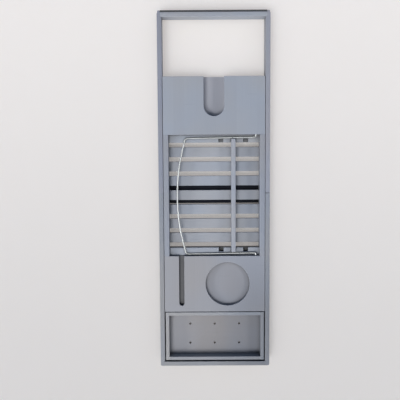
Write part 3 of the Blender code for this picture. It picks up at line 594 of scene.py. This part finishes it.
def dress(node, material):
    """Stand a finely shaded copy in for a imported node."""
    mesh = frame["nodes"][node].data.copy()
    work = bmesh.new()
    work.from_mesh(mesh)
    bmesh.ops.remove_doubles(work, verts=work.verts, dist=WELD_DISTANCE)
    bmesh.ops.dissolve_limit(work, angle_limit=FLAT_ANGLE, verts=work.verts, edges=work.edges)
    if node.startswith("open_leg"):
        for vert in work.verts:
            if vert.co.x < LEG_END_X:
                vert.co.x -= LEG_END_STEP
    layer = work.faces.layers.float.new("edge")
    for face in work.faces:
        longest = max(edge.calc_length() for edge in face.edges)
        face[layer] = 1.0 if face.calc_area() / longest < NARROW_FACE else 0.0
    smooth(work)
    work.to_mesh(mesh)
    work.free()
    if "custom_normal" in mesh.attributes:
        mesh.attributes.remove(mesh.attributes["custom_normal"])
    mesh.materials.clear()
    mesh.materials.append(material)
    piece = placed(f"{node}.dressed", mesh)
    shading = piece.modifiers.new("even_shading", "WEIGHTED_NORMAL")
    shading.keep_sharp = True
    shading.weight = EVEN_SHADING_WEIGHT
    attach(piece, body_of[node])
    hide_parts(node)


def rounded(corners, radii, steps):
    """Points along straight runs between corners, each corner but the ends turned into an arc."""
    points = [Vector(corners[0])]
    for before, corner, after, radius in zip(corners, corners[1:], corners[2:], radii):
        back = (Vector(before) - Vector(corner)).normalized()
        ahead = (Vector(after) - Vector(corner)).normalized()
        half = back.angle(ahead) / 2
        centre = Vector(corner) + (back + ahead).normalized() * (radius / math.sin(half))
        start = Vector(corner) + back * (radius / math.tan(half)) - centre
        end = Vector(corner) + ahead * (radius / math.tan(half)) - centre
        for step in range(steps + 1):
            turn = Quaternion(start.cross(end), start.angle(end) * step / steps)
            points.append(centre + turn @ start)
    points.append(Vector(corners[-1]))
    return points


def wire_line():
    """The wire's middle line in its own plane: X along its axis, Y away from it."""
    radius = (WIRE_ARM_X ** 2 + WIRE_BOW_RISE ** 2) / (2 * WIRE_BOW_RISE)
    half_angle = math.asin(WIRE_ARM_X / radius)
    bow = []
    for step in range(WIRE_BOW_STEPS + 1):
        angle = half_angle * (2 * step / WIRE_BOW_STEPS - 1)
        rise = radius * (1 - math.cos(angle))
        bow.append(Vector((radius * math.sin(angle), rise - WIRE_BOW_REACH, 0)))
    corners = [(-WIRE_PIN_X, 0, 0), (-WIRE_ARM_X, 0, 0), bow[0], bow[WIRE_CORNER_SKIP]]
    side = rounded(corners, [WIRE_PIN_BEND, WIRE_CORNER], WIRE_BEND_STEPS)[:-1]
    mirrored = [Vector((-point.x, point.y, 0)) for point in reversed(side)]
    return side + bow[WIRE_CORNER_SKIP:-WIRE_CORNER_SKIP] + mirrored


def make_wire():
    """The page rest's wire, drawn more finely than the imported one."""
    curve = bpy.data.curves.new(f"{WIRE}.dressed", "CURVE")
    curve.dimensions = "3D"
    curve.bevel_depth = WIRE_RADIUS
    curve.bevel_resolution = WIRE_ROUND_STEPS
    curve.use_fill_caps = True
    line = wire_line()
    spline = curve.splines.new("POLY")
    spline.points.add(len(line) - 1)
    for point, place in zip(spline.points, line):
        lean = WIRE_LEAN * place.y / -WIRE_BOW_REACH
        drop = place.y * math.sin(WIRE_TILT)
        point.co = (place.x + lean, place.y * math.cos(WIRE_TILT), drop, 1)
    spline.use_smooth = True
    curve.materials.append(
        steel(f"{WIRE}_steel", WIRE_SEED, DRAWN_WIRE, WIRE_ROUGHNESS, WIRE_COLOUR)
    )
    piece = placed(f"{WIRE}.dressed", curve)
    piece.location = WIRE_AXIS
    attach(piece, body_of[WIRE])
    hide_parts(WIRE)


def block(name, low, high, material, body, edge_round):
    """A strip with rounded edges between two opposite corners."""
    work = bmesh.new()
    bmesh.ops.create_cube(work, size=1)
    for vert in work.verts:
        vert.co = Vector((a + (b - a) * (k + 0.5) for a, b, k in zip(low, high, vert.co)))
    bmesh.ops.bevel(
        work, geom=work.edges[:], offset=edge_round, segments=BLOCK_ROUND_STEPS, profile=0.5,
        affect="EDGES",
    )
    smooth(work)
    mesh = bpy.data.meshes.new(name)
    work.to_mesh(mesh)
    work.free()
    mesh.materials.append(material)
    piece = placed(name, mesh)
    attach(piece, body)


def make_joints():
    joints = [(side, hand, joint) for side, hand in SIDES for joint in JOINTS]
    for number, (side, hand, joint) in enumerate(joints):
        board, x, y, length, along, far_top = joint
        node = f"{board}_{hand}"
        half_x, half_y = length * MM / 2, PAINT_WIDTH / 2
        if along == "Y":
            half_x, half_y = half_y, half_x
        middle_x, middle_y = x * MM, side * y * MM
        top = far_top if hand == "far" else PAINT_TOP
        low = Vector((middle_x - half_x, middle_y - half_y, top - PAINT_DEPTH))
        high = Vector((middle_x + half_x, middle_y + half_y, top))
        name = f"{node}_joint_{number}"
        paint = painted_wood(f"{name}_paint", colour_of(node), along, JOINT_SEED + number)
        block(name, low, high, paint, body_of[node], PAINT_ROUND)


# Stage


def make_floor():
    mesh = bpy.data.meshes.new("floor")
    half = FLOOR_SIZE / 2
    corners = [(-half, -half, 0), (half, -half, 0), (half, half, 0), (-half, half, 0)]
    mesh.from_pydata(corners, [], [(0, 1, 2, 3)])
    floor = placed("floor", mesh)
    tree = Tree(bpy.data.materials.new("floor"))
    place = tree.coordinates()
    seen = tree.seen(tree.add("ShaderNodeLightPath").outputs)
    cloud = tree.noise(place, (0, 0, 0), FLOOR_CLOUD)
    open_share = tree.open_share(FLOOR_SHUT_REACH, FLOOR_SHUT_SAMPLES)
    pale = tree.ramp(tree.axes(place)["X"], *FLOOR_PALE_RAMP)
    pale = tree.times(pale, tree.plus(FLOOR_CLOUD_BASE, (cloud, FLOOR_CLOUD_TONE)))
    pale = tree.times(pale, tree.ramp(open_share, *FLOOR_SHUT_RAMP))
    pale = tree.times(pale, tree.ramp(open_share, *FLOOR_BESIDE_RAMP))
    tree.shade({
        "Base Color": tree.mixed(seen, linear(FLOOR_COLOUR), linear(FLOOR_SEEN_COLOUR)),
        "Emission Color": linear(FLOOR_PALE_COLOUR),
        "Emission Strength": tree.times(seen, pale),
        "Roughness": FLOOR_ROUGHNESS,
        "Specular IOR Level": FLOOR_SPECULAR,
        "Subsurface Weight": 1.0,
        "Subsurface Radius": FLOOR_SPREAD,
        "Subsurface Scale": FLOOR_SPREAD_REACH,
    })
    mesh.materials.append(tree.owner)
    return floor


def make_lamps(floor):
    """The windows light only the part, so that its shadow on the floor stays soft."""
    windows = bpy.data.collections.new("window_light")
    windows.objects.link(floor)
    windows.collection_objects[0].light_linking.link_state = "EXCLUDE"
    for name, toward, share, spread in LAMPS:
        data = bpy.data.lights.new(name, "SUN")
        data.energy = math.pi * share / toward.normalized().z
        data.angle = math.radians(spread)
        data.color = LAMP_COLOUR
        lamp = placed(name, data)
        lamp.rotation_mode = "QUATERNION"
        lamp.rotation_quaternion = toward.to_track_quat("Z", "Y")
        if "window" in name:
            lamp.light_linking.receiver_collection = windows


def make_studio():
    """A sky that lights the part, and the plainer studio that the camera and bright metal see."""
    tree = Tree(bpy.data.worlds.new("studio"), "Background")
    place = tree.coordinates("Generated")
    ray = tree.add("ShaderNodeLightPath").outputs
    sky_share = tree.ramp(tree.toward(place, SKY_BRIGHT_SIDE), *SKY_RAMP, kind="LINEAR")
    sky = tree.mixed(sky_share, SKY_DARK, SKY_BRIGHT)
    studio_share = tree.ramp(tree.toward(place, STUDIO_BRIGHT_SIDE), *STUDIO_RAMP)
    studio_share = tree.math("MAXIMUM", studio_share, ray["Is Camera Ray"])
    studio = tree.mixed(studio_share, STUDIO_LOW, STUDIO_PALE)
    tree.shade({"Color": tree.mixed(tree.seen(ray), sky, studio)})
    bpy.context.scene.world = tree.owner


def make_camera():
    data = bpy.data.cameras.new("camera")
    data.lens = CAMERA_LENS
    data.sensor_width = SENSOR_WIDTH
    camera = placed("camera", data)
    back = (CAMERA_PLACE - CAMERA_TARGET).normalized()
    up_hint = Vector((-math.cos(CAMERA_ROLL), math.sin(CAMERA_ROLL), 0))
    right = up_hint.cross(back).normalized()
    up = back.cross(right)
    turned = Matrix((right, up, back)).transposed().to_4x4()
    camera.matrix_world = Matrix.Translation(CAMERA_PLACE) @ turned
    bpy.context.scene.camera = camera


for seed, node in enumerate(sorted(body_of), start=1):
    if node == WIRE:
        make_wire()
    else:
        dress(node, material_of(node, seed))
# A dark silicone strip along the open end bar's outer face
block(
    "open_end_dark_strip", DARK_STRIP_LOW, DARK_STRIP_HIGH, silicone("open_end_bumper_silicone", DARK_STRIP_SEED),
    body_of["open_end_bar"], DARK_STRIP_ROUND,
)
make_joints()
make_lamps(make_floor())
make_studio()
make_camera()
bpy.context.scene.view_settings.view_transform = "Standard"
